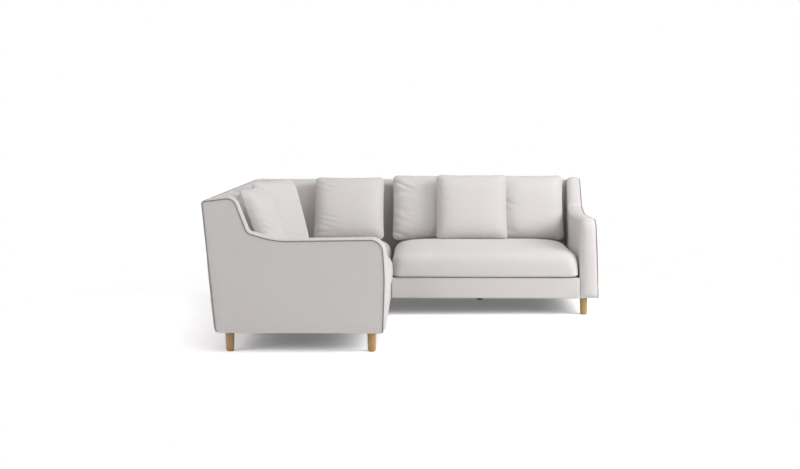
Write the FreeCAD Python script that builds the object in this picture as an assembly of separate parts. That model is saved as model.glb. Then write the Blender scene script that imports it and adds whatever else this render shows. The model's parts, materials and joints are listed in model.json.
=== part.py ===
# A fabric corner sofa: a long unit that holds the corner, and a shorter unit that docks against it.
# Each wing ends in a scooped arm. Cushions lie loose on an interlaced webbing deck.
# Millimetres, +Z up, origin on the floor at the middle of the footprint.
import FreeCAD, Part
import os
from math import atan2, cos, hypot, radians, sin, sqrt, tan

V = FreeCAD.Vector

# Overall form
WING = 2430.0            # outer corner to the outside of either arm
DEPTH = 1030.0           # back plane to the piping line at an arm's front
BACK_HEIGHT = 860.0      # outer edge of the back's top
BACK_RISE = 22.0         # how much the arm outline climbs from there to the scoop
BACK_RAKE = 75.0         # how far the back's foot is set in from its top
BACK_THICKNESS = 118.0
ARM_WIDTH = 124.0        # at the foot
ARM_LEAN = 32.0          # how far the outer side leans in by the top
ARM_HEIGHT = 636.0       # lowest point of the arm's top
ARM_TOP_RISE = 9.0       # climb of the arm's top towards its front
UNDERSIDE = 118.0        # bottom of the upholstery
DECK_HEIGHT = 258.0      # top of the seat platform

# Arm outline, as distances from the back plane
SCOOP_TOP = 175.0
SCOOP_FOOT = 253.0
SCOOP_FOOT_RISE = 47.0   # height of that corner over the arm's lowest point
SCOOP_END = 410.0
FRONT_TOP_SET_BACK = 15.0
FRONT_BEND_HEIGHT = 440.0
FRONT_FOOT_SET_BACK = 10.0
HEEL_RADIUS = 28.0
BACK_TOP_RADIUS = 8.0
SCOOP_TOP_RADIUS = 50.0
SCOOP_FOOT_RADIUS = 46.0
SCOOP_END_RADIUS = 780.0
FRONT_TOP_RADIUS = 68.0
FRONT_BEND_RADIUS = 1500.0
TOE_RADIUS = 5.0

# Upholstery over the frames
TOP_CROWN = 16.0         # padding standing over the piping line along the top
FRONT_CROWN = 20.0       # and down the arm's front
ROLL = 22.0              # width over which the padding rolls down to an edge
INNER_DROP = 6.0         # the inner edge lies this far inside the piping outline
SHELL = 16.0             # foam and cloth on an arm's sides
OUTLINE_PAD = 26.0       # foam and cloth inside the piping outline
BACK_PAD = 20.0
BACK_TOP_DROP = 22.0     # the back's inner top edge lies this far below its outer edge
BACK_CROWN = 14.0
BACK_ROLL = 34.0
RAIL_COVER = 45.0        # thickness of the upholstered front rail
RAIL_PAD = 11.0          # foam and cloth round the timber front rail
RAIL_EDGE_RADIUS = 9.0
RAIL_PROUD = 5.0         # it stands this far past the piping line
FIT = 0.5                # clearance round a frame inside its padding
UNIT_GAP = 3.0           # between the two units' covers

# Timber
PLY = 12.0
POST = 45.0
BASE_RAIL = 40.0
BASE_BOTTOM = 121.0
CROSS_RAIL = 32.0
BACK_RAIL = 60.0
LEG_BLOCK = 90.0
LEG_BLOCK_HEIGHT = 42.0

# Webbing, platform and dust cover
STRAP_WIDTH = 70.0
STRAP = 1.6
STRAP_PITCH = 150.0
WEAVE_GAP = 0.4          # air between two straps where they cross
PLATFORM = 6.0           # felt platform under the cushions
DUST_COVER = 1.5
DUST_COVER_RIM = 14.0    # it laps this far onto the arms, the back and the rail

# Legs and their fittings
LEG_TOP = 52.0
LEG_BOTTOM = 46.0
LEG_CHAMFER = 2.5
LEG_FROM_OUTSIDE = 89.0  # leg axis to an arm's outer side or a unit's end
LEG_FROM_FRONT = 74.0
LEG_FROM_BACK = 142.0
GLIDE = 4.0
GLIDE_WIDTH = 34.0
PLATE = 3.0
PLATE_WIDTH = 64.0
PLATE_CORNER = 7.0
BOLT = 8.0
BOLT_IN_LEG = 34.0
BOLT_IN_BLOCK = 30.0
BOLT_CLEARANCE = 0.4

# Dock fittings between the units
DOCK_RECESS = 3.0        # each unit's plain end lies this far inside its covers
DOCK_PLATE = 2.0
DOCK_WIDTH = 60.0
DOCK_HEIGHT = 70.0
DOCK_TONGUE = 30.0
DOCK_SLOT = 2.6
DOCK_BRIDGE = 1.2
DOCK_BRIDGE_HEIGHT = 16.0
DOCK_PLAY = 0.3

# Seat cushions
SEAT_GAP = 4.0
SOFT_GAP = 0.4           # a soft piece stays this far from what it lies on
SEAT_EDGE = 140.0        # height at a cushion's edge
SEAT_CROWN = 212.0       # height at its middle
SEAT_PROFILE = ((0.0, 0.0), (0.03, 0.3), (0.12, 0.52), (0.42, 0.84), (0.88, 1.0))   # way in, rise
SEAT_OVERHANG = 22.0     # a front edge past the front rail
SEAT_CORNER = 55.0       # plan radius of its corners
SEAT_CORNER_SIDES = 3    # flats that each corner is made of
COVER = 3.0              # cloth and wadding of a cushion cover
ZIP_HEIGHT = 12.0
ZIP_END = 60.0           # a zip stops this far from a cushion's ends
ZIP_PULL = (26.0, 5.0, 9.0)

# Scatter cushions
PILLOW = 495.0
PILLOW_HEIGHT = 484.0
PILLOW_HALF = 80.0       # half the thickness at the middle
PILLOW_COVER = 2.5
PILLOW_PROFILE = ((0.0, 1.0), (0.5, 1.0), (0.78, 0.76), (0.94, 0.42), (1.0, 0.0))   # way out, thickness
PILLOW_LEAN = 20.0
CORNER_PILLOW_LEAN = 26.0
ARM_PILLOW_LEAN = 19.0
ARM_PILLOW_TURN = 6.0
ARM_PILLOW_FOOT = 375.0  # from the back plane to a pillow's foot
TURNED_PILLOW_LEAN = 15.0
TURNED_PILLOW_TURN = 22.0
TURNED_PILLOW_FOOT = 388.0
PILLOW_FROM_ARM = 42.0
ARM_PILLOW_FROM_ARM = 78.0
PILLOW_FROM_SEAT_END = 4.0
CORNER_PILLOW_FROM_END = 66.0
PILLOW_STEP = 315.0      # sideways from a pillow to the one in front of it
TURNED_PILLOW_STEP = 630.0

# Worked out from the above
RAKE = BACK_RAKE / (BACK_HEIGHT - UNDERSIDE)     # slope of the back's faces
ARM_INNER = WING - ARM_WIDTH                     # distance of an arm's inner side from the outer corner
FRAME_TOP = DECK_HEIGHT - PLATFORM - 2 * STRAP - 2 * WEAVE_GAP
RAIL_FRONT = DEPTH + RAIL_PROUD
RAIL_BACK = RAIL_FRONT - RAIL_COVER
LEG_HEIGHT = UNDERSIDE - PLATE
BACK_FOOT = BACK_THICKNESS + BACK_RAKE           # distance of the back's inner face at the underside
LEG_INSIDE = BACK_FOOT + BASE_RAIL + LEG_BLOCK / 2
JOINT = DEPTH + UNIT_GAP / 2                     # plane where the two units meet

SEAT_BACK = BACK_THICKNESS + RAKE * (BACK_HEIGHT - DECK_HEIGHT) + SEAT_GAP
SEAT_FRONT = RAIL_FRONT + SEAT_OVERHANG
SEATS = {
    "left_seat": ((JOINT + SEAT_GAP / 2, ARM_INNER - SEAT_GAP / 2), (SEAT_BACK, SEAT_FRONT)),
    "corner_seat": ((SEAT_BACK, JOINT - SEAT_GAP / 2), (SEAT_BACK, JOINT - SEAT_GAP / 2)),
    "right_seat": ((JOINT + SEAT_GAP / 2, ARM_INNER - SEAT_GAP / 2), (SEAT_BACK, SEAT_FRONT)),
}

parts = {}


def point(s, t, z):
    """A point of the right-hand wing: s from the outer corner, t from the back plane."""
    return V(s - WING / 2, WING / 2 - t, z)


def keep(node, *solids):
    parts.setdefault(node, []).extend(solids)


def mirrored(shape):
    """The left-hand wing is the right-hand one seen in the mirror that halves the corner."""
    return shape.mirror(V(0, 0, 0), V(1, 1, 0))


def on_side(side, shape):
    return shape if side == "right" else mirrored(shape)


def block(s, t, z):
    """A box on the right-hand wing from its three ranges."""
    size = [high - low for low, high in (s, t, z)]
    return Part.makeBox(*size, point(s[0], t[1], z[0]))


def post(s, t, z, diameter, top_diameter=None):
    """An upright round bar, straight or tapered, on the right-hand wing."""
    foot = point(s, t, z[0])
    if top_diameter in (None, diameter):
        return Part.makeCylinder(diameter / 2, z[1] - z[0], foot)
    return Part.makeCone(diameter / 2, top_diameter / 2, z[1] - z[0], foot)


def moved_in(corners, insets):
    """The outline with each side moved in; side i runs from corner i to the next."""
    lines = []
    for (a, b), inset in zip(zip(corners, corners[1:] + corners[:1]), insets):
        along = hypot(b[0] - a[0], b[1] - a[1])
        across = ((b[1] - a[1]) / along, -(b[0] - a[0]) / along)
        lines.append((a[0] + across[0] * inset, a[1] + across[1] * inset, b[0] - a[0], b[1] - a[1]))
    moved = []
    for i, corner in enumerate(corners):
        x1, y1, u1, v1 = lines[i - 1]
        x2, y2, u2, v2 = lines[i]
        share = ((x2 - x1) * v2 - (y2 - y1) * u2) / (u1 * v2 - v1 * u2)
        turn = u1 * v2 - v1 * u2
        radius = corner[2] + (insets[i] if turn > 0 else -insets[i])
        moved.append((x1 + share * u1, y1 + share * v1, max(radius, 1.0)))
    return moved


def rounded_wire(corners, place):
    """A closed wire through (a, b, radius) corners with tangent arcs; place makes each point."""
    runs = []
    count = len(corners)
    for i, (x, y, radius) in enumerate(corners):
        before, after = corners[i - 1], corners[(i + 1) % count]
        length_in = hypot(x - before[0], y - before[1])
        length_out = hypot(after[0] - x, after[1] - y)
        way_in = ((x - before[0]) / length_in, (y - before[1]) / length_in)
        way_out = ((after[0] - x) / length_out, (after[1] - y) / length_out)
        turn = abs(atan2(way_in[0] * way_out[1] - way_in[1] * way_out[0],
                         way_in[0] * way_out[0] + way_in[1] * way_out[1]))
        reach = min(radius * tan(turn / 2), 0.48 * length_in, 0.48 * length_out)
        real = reach / tan(turn / 2)
        start = (x - way_in[0] * reach, y - way_in[1] * reach)
        end = (x + way_out[0] * reach, y + way_out[1] * reach)
        to_middle = (way_out[0] - way_in[0], way_out[1] - way_in[1])
        scale = real * (1 / cos(turn / 2) - 1) / hypot(*to_middle)
        runs.append((start, (x + to_middle[0] * scale, y + to_middle[1] * scale), end))
    edges = []
    for i, (start, middle, end) in enumerate(runs):
        edges.append(Part.Arc(place(*start), place(*middle), place(*end)).toShape())
        edges.append(Part.LineSegment(place(*end), place(*runs[(i + 1) % count][0])).toShape())
    return Part.Wire(edges)


def polygon(points):
    return Part.makePolygon(points + points[:1])


def stacked(outlines):
    """A closed solid of flat faces through outlines that have the same number of parallel sides."""
    faces = [Part.Face(polygon(outlines[0])), Part.Face(polygon(outlines[-1]))]
    for below, above in zip(outlines, outlines[1:]):
        for i in range(len(below)):
            faces.append(Part.Face(polygon([below[i - 1], below[i], above[i], above[i - 1]])))
    solid = Part.Solid(Part.Shell(faces))
    if solid.Volume < 0:
        solid.reverse()
    return solid


def prism(corners, s):
    """A straight-sided (t, z) outline drawn out along the wing."""
    wire = polygon([point(s[0], t, z) for t, z in corners])
    return Part.Face(wire).extrude(V(s[1] - s[0], 0, 0))


def arm_corners():
    """The piping outline of an arm's outer side, from the heel up the back and round to the toe."""
    return [
        (BACK_RAKE, UNDERSIDE, HEEL_RADIUS),
        (0.0, BACK_HEIGHT, BACK_TOP_RADIUS),
        (SCOOP_TOP, BACK_HEIGHT + BACK_RISE, SCOOP_TOP_RADIUS),
        (SCOOP_FOOT, ARM_HEIGHT + SCOOP_FOOT_RISE, SCOOP_FOOT_RADIUS),
        (SCOOP_END, ARM_HEIGHT, SCOOP_END_RADIUS),
        (DEPTH - FRONT_TOP_SET_BACK, ARM_HEIGHT + ARM_TOP_RISE, FRONT_TOP_RADIUS),
        (DEPTH, FRONT_BEND_HEIGHT, FRONT_BEND_RADIUS),
        (DEPTH - FRONT_FOOT_SET_BACK, UNDERSIDE, TOE_RADIUS),
    ]


def arm_insets(top, front, back=0.0, bottom=0.0):
    return [back, top, top, top, top, front, front, bottom]


def lean_at(z):
    return ARM_LEAN * (z - UNDERSIDE) / (BACK_HEIGHT - UNDERSIDE)


def arm_section(from_inner, from_outer, insets):
    """One outline across the arm, a set distance from its inner side or from its leaning outer side."""
    corners = moved_in(arm_corners(), insets)
    if from_outer is None:
        return rounded_wire(corners, lambda t, z: point(ARM_INNER + from_inner, t, z))
    return rounded_wire(corners, lambda t, z: point(WING - from_outer - lean_at(z), t, z))


def arm_cover():
    """Foam and cloth over the arm frame: a crowned shell that is open underneath."""
    sections = [
        arm_section(0.0, None, arm_insets(INNER_DROP, INNER_DROP)),
        arm_section(ROLL, None, arm_insets(-0.8 * TOP_CROWN, -0.8 * FRONT_CROWN)),
        arm_section((ARM_WIDTH - ARM_LEAN) / 2, None, arm_insets(-TOP_CROWN, -FRONT_CROWN)),
        arm_section(None, ROLL, arm_insets(-0.7 * TOP_CROWN, -0.7 * FRONT_CROWN)),
        arm_section(None, 0.0, arm_insets(0.0, 0.0)),
    ]
    outside = Part.makeLoft(sections, True, True)
    return outside.cut(arm_hollow(0.0))


def arm_frame_range():
    return ARM_INNER + SHELL, WING - ARM_LEAN - SHELL


def arm_hollow(clearance):
    """The space for the arm frame, drawn straight and running out of the underside."""
    pad = OUTLINE_PAD - clearance
    corners = moved_in(arm_corners(), arm_insets(pad, pad, pad, -GLIDE))
    low, high = arm_frame_range()
    wire = rounded_wire(corners, lambda t, z: point(low - clearance, t, z))
    return Part.Face(wire).extrude(V(high - low + 2 * clearance, 0, 0))


def arm_frame():
    """Two shaped ply panels on posts and rails, as arms are built before they are padded."""
    pad = OUTLINE_PAD + FIT
    corners = moved_in(arm_corners(), arm_insets(pad, pad, pad, BASE_BOTTOM - UNDERSIDE))
    low, high = arm_frame_range()
    low, high = low + FIT, high - FIT
    wire = rounded_wire(corners, lambda t, z: point(low, t, z))
    whole = Part.Face(wire).extrude(V(high - low, 0, 0))
    rim = [POST] * len(corners)
    rim[-1] = LEG_BLOCK_HEIGHT
    window_wire = rounded_wire(moved_in(corners, rim), lambda t, z: point(low, t, z))
    window = Part.Face(window_wire).extrude(V(high - low, 0, 0))
    inside = block((low + PLY, high - PLY), (-DEPTH, 2 * DEPTH), (0, 2 * BACK_HEIGHT))
    core = whole.cut(window).common(inside)
    mid_height = (DECK_HEIGHT + ARM_HEIGHT) / 2
    opening_low = (UNDERSIDE + DECK_HEIGHT) / 2 + POST
    hand_holes = [
        block((low, high), (DEPTH * 0.32, DEPTH * 0.56), (opening_low, mid_height)),
        block((low, high), (DEPTH * 0.62, DEPTH * 0.86), (opening_low, mid_height)),
    ]
    panels = [
        whole.common(block(span, (-DEPTH, 2 * DEPTH), (0, 2 * BACK_HEIGHT)))
        for span in ((low, low + PLY), (high - PLY, high))
    ]
    for hole in hand_holes:
        panels = [panel.cut(hole) for panel in panels]
    solids = [core] + panels
    for t in (LEG_FROM_BACK, DEPTH - LEG_FROM_FRONT):
        bore = post(WING - LEG_FROM_OUTSIDE, t, (0, BASE_BOTTOM + BOLT_IN_BLOCK), BOLT + BOLT_CLEARANCE)
        solids = [solid.cut(bore) for solid in solids]
    return solids


def back_face(z, thickness=0.0):
    """Distance of a raked face from the back plane at a height."""
    return thickness + RAKE * (BACK_HEIGHT - z)


def back_corners():
    """Section through the back: raked faces and a top that rolls down to the seat side."""
    top = BACK_HEIGHT - BACK_TOP_DROP
    return [
        (back_face(UNDERSIDE), UNDERSIDE, HEEL_RADIUS),
        (0.0, BACK_HEIGHT, BACK_TOP_RADIUS),
        (BACK_ROLL, BACK_HEIGHT + BACK_CROWN, 3 * BACK_ROLL),
        (BACK_THICKNESS, top + BACK_CROWN, BACK_ROLL),
        (back_face(UNDERSIDE, BACK_THICKNESS), UNDERSIDE, 2.0),
    ]


def back_solid(s):
    wire = rounded_wire(back_corners(), lambda t, z: point(s[0], t, z))
    return Part.Face(wire).extrude(V(s[1] - s[0], 0, 0))


def back_space(clearance, bottom):
    """The straight-sided space inside the back for its frame, as (distance, height) corners."""
    pad = BACK_PAD + clearance
    top = BACK_HEIGHT - BACK_TOP_DROP - pad
    return [
        (back_face(bottom, pad), bottom),
        (back_face(top, pad), top),
        (back_face(top, BACK_THICKNESS - pad), top),
        (back_face(bottom, BACK_THICKNESS - pad), bottom),
    ]


def back_cover(s, hollow_s):
    """Padding over the back frame, open underneath."""
    return back_solid(s).cut(prism(back_space(0.0, UNDERSIDE - GLIDE), hollow_s))


def back_frame(s, uprights):
    """Top, middle and bottom rails between uprights, all raked with the back."""
    whole = prism(back_space(FIT, BASE_BOTTOM), s)
    top = BACK_HEIGHT - BACK_TOP_DROP - BACK_PAD - FIT
    middle = (DECK_HEIGHT + top) / 2
    heights = [(BASE_BOTTOM, BASE_BOTTOM + BACK_RAIL), (middle - BACK_RAIL / 2, middle + BACK_RAIL / 2),
               (top - BACK_RAIL, top)]
    rails = [whole.common(block((s[0], s[1]), (-DEPTH, 2 * DEPTH), z)) for z in heights]
    gaps = [(heights[0][1], heights[1][0]), (heights[1][1], heights[2][0])]
    studs = [
        whole.common(block((at - BASE_RAIL / 2, at + BASE_RAIL / 2), (-DEPTH, 2 * DEPTH), gap))
        for at in uprights for gap in gaps
    ]
    return rails + studs


def cut_all(shape, tools):
    for tool in tools:
        shape = shape.cut(tool)
    return shape


def strap(path, width, along_s):
    """A flat strap of even thickness through (distance, height) points, drawn across its width."""
    low = [(a, z - STRAP / 2) for a, z in path]
    high = [(a, z + STRAP / 2) for a, z in reversed(path)]
    if along_s:
        wire = polygon([point(a, width[1], z) for a, z in low + high])
        return Part.Face(wire).extrude(V(0, width[1] - width[0], 0))
    wire = polygon([point(width[0], a, z) for a, z in low + high])
    return Part.Face(wire).extrude(V(width[1] - width[0], 0, 0))


def weave_path(span, crossings, first_over):
    """Over and under the straps it crosses, and flat on the rails at both ends."""
    middle = FRAME_TOP + STRAP + WEAVE_GAP / 2
    swing = (STRAP + WEAVE_GAP) / 2
    half = STRAP_WIDTH / 2 + 2.0
    path = [(span[0], FRAME_TOP + STRAP / 2 + WEAVE_GAP / 4)]
    for i, at in enumerate(crossings):
        height = middle + (swing if (i % 2 == 0) == first_over else -swing)
        path += [(at - half, height), (at + half, height)]
    return path + [(span[1], FRAME_TOP + STRAP / 2 + WEAVE_GAP / 4)]


def evenly(low, high, pitch):
    """Places at about a pitch, centred between two ends."""
    count = max(2, int((high - low) // pitch))
    step = (high - low) / count
    return [low + step * (i + 0.5) for i in range(count)]


def webbing(s, t):
    """Interlaced straps that carry the seat, over a frame opening with the rails outside it."""
    across = evenly(s[0] + BASE_RAIL, s[1] - BASE_RAIL, STRAP_PITCH)
    along = evenly(t[0] + BASE_RAIL, t[1] - BASE_RAIL, STRAP_PITCH * 1.25)
    half = STRAP_WIDTH / 2
    end = BASE_RAIL / 4
    straps = [
        strap(weave_path((t[0] + end, t[1] - end), along, i % 2 == 0), (at - half, at + half), False)
        for i, at in enumerate(across)
    ]
    straps += [
        strap(weave_path((s[0] + end, s[1] - end), across, i % 2 == 1), (at - half, at + half), True)
        for i, at in enumerate(along)
    ]
    return straps


def base_frame(s, t, cross, blocks):
    """A rectangle of rails with cross rails, and a drilled block at each leg."""
    z = (BASE_BOTTOM, FRAME_TOP)
    solids = [
        block(s, (t[0], t[0] + BASE_RAIL), z),
        block(s, (t[1] - BASE_RAIL, t[1]), z),
        block((s[0], s[0] + BASE_RAIL), (t[0] + BASE_RAIL, t[1] - BASE_RAIL), z),
        block((s[1] - BASE_RAIL, s[1]), (t[0] + BASE_RAIL, t[1] - BASE_RAIL), z),
    ]
    low = (BASE_BOTTOM, FRAME_TOP - BASE_RAIL)
    for at in cross:
        span = (at - CROSS_RAIL / 2, at + CROSS_RAIL / 2)
        solids.append(block(span, (t[0] + BASE_RAIL, t[1] - BASE_RAIL), low))
    for s_leg, t_leg in blocks:
        s_low = min(max(s_leg - LEG_BLOCK / 2, s[0] + BASE_RAIL), s[1] - BASE_RAIL - LEG_BLOCK)
        t_low = min(max(t_leg - LEG_BLOCK / 2, t[0] + BASE_RAIL), t[1] - BASE_RAIL - LEG_BLOCK)
        leg_block = block((s_low, s_low + LEG_BLOCK), (t_low, t_low + LEG_BLOCK),
                          (BASE_BOTTOM, BASE_BOTTOM + LEG_BLOCK_HEIGHT))
        touching = [solid for solid in solids if solid.BoundBox.intersect(leg_block.BoundBox)]
        solids.append(cut_all(leg_block, touching))
        bore = post(s_leg, t_leg, (0, BASE_BOTTOM + BOLT_IN_BLOCK), BOLT + BOLT_CLEARANCE)
        solids = [solid.cut(bore) for solid in solids]
    return solids


def leg(s, t):
    """A turned, gently tapered leg with an eased foot and a bore for its bolt."""
    body = post(s, t, (GLIDE, LEG_HEIGHT), LEG_BOTTOM, LEG_TOP)
    foot_rim = [edge for edge in body.Edges if edge.Closed and edge.CenterOfMass.z < GLIDE + FIT]
    body = body.makeChamfer(LEG_CHAMFER, foot_rim)
    return body.cut(post(s, t, (LEG_HEIGHT - BOLT_IN_LEG, LEG_HEIGHT), BOLT + BOLT_CLEARANCE))


def leg_plate(s, t):
    half = PLATE_WIDTH / 2
    plate = block((s - half, s + half), (t - half, t + half), (LEG_HEIGHT, UNDERSIDE))
    upright = [edge for edge in plate.Edges if abs(edge.tangentAt(edge.FirstParameter).z) > 0.5]
    plate = plate.makeChamfer(PLATE_CORNER, upright)
    return plate.cut(post(s, t, (0, BACK_HEIGHT), BOLT + BOLT_CLEARANCE))


def leg_bolt(s, t):
    return post(s, t, (LEG_HEIGHT - BOLT_IN_LEG, BASE_BOTTOM + BOLT_IN_BLOCK), BOLT)


def glide(s, t):
    return post(s, t, (0, GLIDE), GLIDE_WIDTH)


def front_rail_cover(s, t):
    """Foam and cloth round the timber front rail, open underneath, with its upper front edge rounded."""
    outside = block(s, t, (UNDERSIDE, DECK_HEIGHT))
    front = point(0, t[1], 0).y
    upper_front = [
        edge for edge in outside.Edges
        if abs(edge.CenterOfMass.y - front) < FIT and abs(edge.CenterOfMass.z - DECK_HEIGHT) < FIT
    ]
    return outside.makeFillet(RAIL_EDGE_RADIUS, upper_front).cut(front_rail(s, t, 0.0, UNDERSIDE - GLIDE))


def front_rail(s, t, clearance, bottom):
    pad = RAIL_PAD + clearance
    return block((s[0] + pad, s[1] - pad), (t[0] + pad, t[1] - pad), (bottom, DECK_HEIGHT - pad))


def between(profile, share):
    """Read a profile of (share, value) pairs, straight between them and level past its last one."""
    for (near, low), (far, high) in zip(profile, profile[1:]):
        if near <= share <= far:
            return low + (high - low) * (share - near) / (far - near)
    return profile[-1][1]


def eased_rectangle(length, width, inset, radius, height):
    """A rectangle moved in by an inset, with each corner made of a few flats."""
    points = []
    for quarter, (side_x, side_y) in enumerate(((1, 1), (-1, 1), (-1, -1), (1, -1))):
        x = length / 2 + side_x * (length / 2 - inset - radius)
        y = width / 2 + side_y * (width / 2 - inset - radius)
        for i in range(SEAT_CORNER_SIDES + 1):
            angle = radians(90 * (quarter + i / SEAT_CORNER_SIDES))
            points.append(V(x + radius * cos(angle), y + radius * sin(angle), height))
    return points


def crowned_block(length, width, inset):
    """A cushion's form: upright sides with eased corners, then outlines that close in towards the crown."""
    half = min(length, width) / 2 - inset
    levels = [(0.0, inset)]
    for share, rise in SEAT_PROFILE:
        levels.append((share * half, SEAT_EDGE - inset + rise * (SEAT_CROWN - SEAT_EDGE)))
    outlines = []
    for way_in, height in levels:
        radius = min(SEAT_CORNER - inset, 0.9 * (half - way_in))
        outlines.append(eased_rectangle(length, width, inset + way_in, radius, height))
    return stacked(outlines)


def seat_cushion(node, side, s, t):
    """Cover, foam and zip of one loose seat cushion, on the range it fills."""
    length, width = s[1] - s[0], t[1] - t[0]
    origin = point(s[0], t[1], DECK_HEIGHT + SOFT_GAP)
    foam = crowned_block(length, width, COVER)
    cover = crowned_block(length, width, 0.0).cut(foam)
    zip_foot = V(SEAT_CORNER + ZIP_END, width - COVER, (SEAT_EDGE - ZIP_HEIGHT) / 2)
    slot = Part.makeBox(length - 2 * (SEAT_CORNER + ZIP_END), COVER, ZIP_HEIGHT, zip_foot)
    pull = Part.makeBox(*ZIP_PULL, zip_foot + V(ZIP_END, COVER, (ZIP_HEIGHT - ZIP_PULL[2]) / 2))
    pieces = {"cover": cover.cut(slot), "foam": foam, "zip": slot.fuse(pull)}
    for piece, shape in pieces.items():
        shape.translate(origin)
        keep(f"{node}_{piece}", on_side(side, shape))


def seat_height(seat, s, t):
    """Height of a cushion's top at a place on it."""
    (s_low, s_high), (t_low, t_high) = SEATS[seat]
    half = min(s_high - s_low, t_high - t_low) / 2
    a, b = min(s - s_low, s_high - s), min(t - t_low, t_high - t)
    way_in = min(a, b)
    if abs(a - b) < SEAT_CORNER:
        way_in = (a + b + sqrt(2 * SEAT_CORNER ** 2 - (a - b) ** 2)) / 2 - SEAT_CORNER
    rise = between(SEAT_PROFILE, max(way_in, 0.0) / half)
    return DECK_HEIGHT + SOFT_GAP + SEAT_EDGE + rise * (SEAT_CROWN - SEAT_EDGE)


def half_thickness(share):
    """Half of a pillow's thickness at a share of its width from the middle."""
    return PILLOW_HALF * between(PILLOW_PROFILE, share)


def leaning_foot(seat, s, lean):
    """Distance of a pillow's foot from the back plane when it leans on the back's top edge."""
    foot = BACK_FOOT
    climb = BACK_HEIGHT - BACK_TOP_DROP + BACK_CROWN - seat_height(seat, s, foot)
    for _ in range(3):
        foot = BACK_THICKNESS + SOFT_GAP + climb * tan(radians(lean)) + PILLOW_HALF / cos(radians(lean))
        climb = BACK_HEIGHT - BACK_TOP_DROP + BACK_CROWN - seat_height(seat, s, foot)
    return foot


def nesting(step):
    """How far in front of a parallel pillow another one lies that is set to one side of it."""
    half = PILLOW / 2
    bends = [share * half for share, _ in PILLOW_PROFILE]
    places = [at for at in bends + [step - bend for bend in bends] if 0 <= at <= step]
    return max(half_thickness(at / half) + half_thickness((step - at) / half) for at in places) + SOFT_GAP


def pillow_shape(inset):
    """A knife-edged pillow as stacked frames, thick in the middle, standing on its lower edge."""
    half = PILLOW_HALF - inset
    outlines = []
    front = [(share, -depth) for share, depth in PILLOW_PROFILE[1:]]
    back = [(share, -depth) for share, depth in reversed(front[:-1])]
    for share, depth in front + back:
        x = (PILLOW / 2 - 2 * inset) * share
        z = (PILLOW_HEIGHT / 2 - 2 * inset) * share
        y = half * depth
        outlines.append([V(-x, y, -z), V(x, y, -z), V(x, y, z), V(-x, y, z)])
    shape = stacked(outlines)
    shape.translate(V(0, 0, PILLOW_HEIGHT / 2))
    return shape


def pillow(node, seat, s, foot, lean, turn=0.0):
    """Cover and inner pad of a scatter cushion that stands on a seat and leans back."""
    reach = V(cos(radians(turn)), sin(radians(turn)), 0) * PILLOW / 2
    line = [(s + reach.x * i / 12, foot - reach.y * i / 12) for i in range(-12, 13)]
    height = max(seat_height(seat, *place) for place in line) + SOFT_GAP
    pad = pillow_shape(PILLOW_COVER)
    pieces = {"cover": pillow_shape(0.0).cut(pad), "pad": pad}
    for piece, shape in pieces.items():
        shape.rotate(V(0, 0, 0), V(1, 0, 0), -lean)
        shape.rotate(V(0, 0, 0), V(0, 0, 1), turn)
        shape.translate(point(s, foot, height))
        keep(f"{node}_{piece}", on_side("left" if seat == "left_seat" else "right", shape))


def arms():
    for side in ("left", "right"):
        keep(f"{side}_arm_cover", on_side(side, arm_cover()))
        keep(f"{side}_arm_frame", *[on_side(side, solid) for solid in arm_frame()])


def mitre():
    """Everything on the right-hand side of the corner's diagonal."""
    far = 2 * WING
    wire = polygon([point(-WING, -WING, -far / 4), point(far, far, -far / 4), point(far, -WING, -far / 4)])
    return Part.Face(wire).extrude(V(0, 0, far))


def backs():
    start = DEPTH + UNIT_GAP
    inner = back_face(BASE_BOTTOM, BACK_THICKNESS)
    cover = back_cover((start, ARM_INNER), (start + BACK_PAD, ARM_INNER - BACK_PAD))
    span = (start + BACK_PAD + FIT, ARM_INNER - BACK_PAD - FIT)
    keep("left_back_cover", mirrored(cover))
    keep("left_back_frame", *[mirrored(solid) for solid in back_frame(span, uprights(span, 3))])
    long_cover = back_cover((0, ARM_INNER), (inner, ARM_INNER - BACK_PAD))
    span = (inner + FIT, ARM_INNER - BACK_PAD - FIT)
    keep("right_back_cover", long_cover.common(mitre()))
    keep("right_back_frame", *back_frame(span, uprights(span, 4)))
    short_cover = back_cover((0, DEPTH), (inner, DEPTH - BACK_PAD))
    span = (inner + FIT, DEPTH - BACK_PAD - FIT)
    keep("corner_back_cover", mirrored(short_cover.common(mitre())))
    keep("corner_back_frame", *[mirrored(solid) for solid in back_frame(span, uprights(span, 3))])


def uprights(span, count):
    low, high = span[0] + BASE_RAIL / 2, span[1] - BASE_RAIL / 2
    return [low + (high - low) * i / (count - 1) for i in range(count)]


def long_unit_legs():
    """Leg places of the long unit, as (s, t) on the right-hand wing."""
    front = DEPTH - LEG_FROM_FRONT
    return {
        "right_arm_front": (WING - LEG_FROM_OUTSIDE, front),
        "right_arm_back": (WING - LEG_FROM_OUTSIDE, LEG_FROM_BACK),
        "right_middle": ((DEPTH + ARM_INNER) / 2, LEG_INSIDE),
        "corner_back": (LEG_INSIDE, LEG_INSIDE),
        "corner_dock": (LEG_INSIDE, RAIL_BACK - BASE_RAIL - LEG_BLOCK / 2),
        "corner_inner": (DEPTH - LEG_FROM_FRONT, RAIL_BACK - BASE_RAIL - LEG_BLOCK / 2),
    }


def left_unit_legs():
    """Leg places of the docking unit, given on the right-hand wing and mirrored."""
    front = DEPTH - LEG_FROM_FRONT
    dock = JOINT + BASE_RAIL + LEG_BLOCK / 2 + UNIT_GAP + DOCK_RECESS
    return {
        "left_arm_front": (WING - LEG_FROM_OUTSIDE, front),
        "left_arm_back": (WING - LEG_FROM_OUTSIDE, LEG_FROM_BACK),
        "left_dock_front": (dock, RAIL_BACK - BASE_RAIL - LEG_BLOCK / 2),
        "left_dock_back": (dock, LEG_INSIDE),
    }


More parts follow.
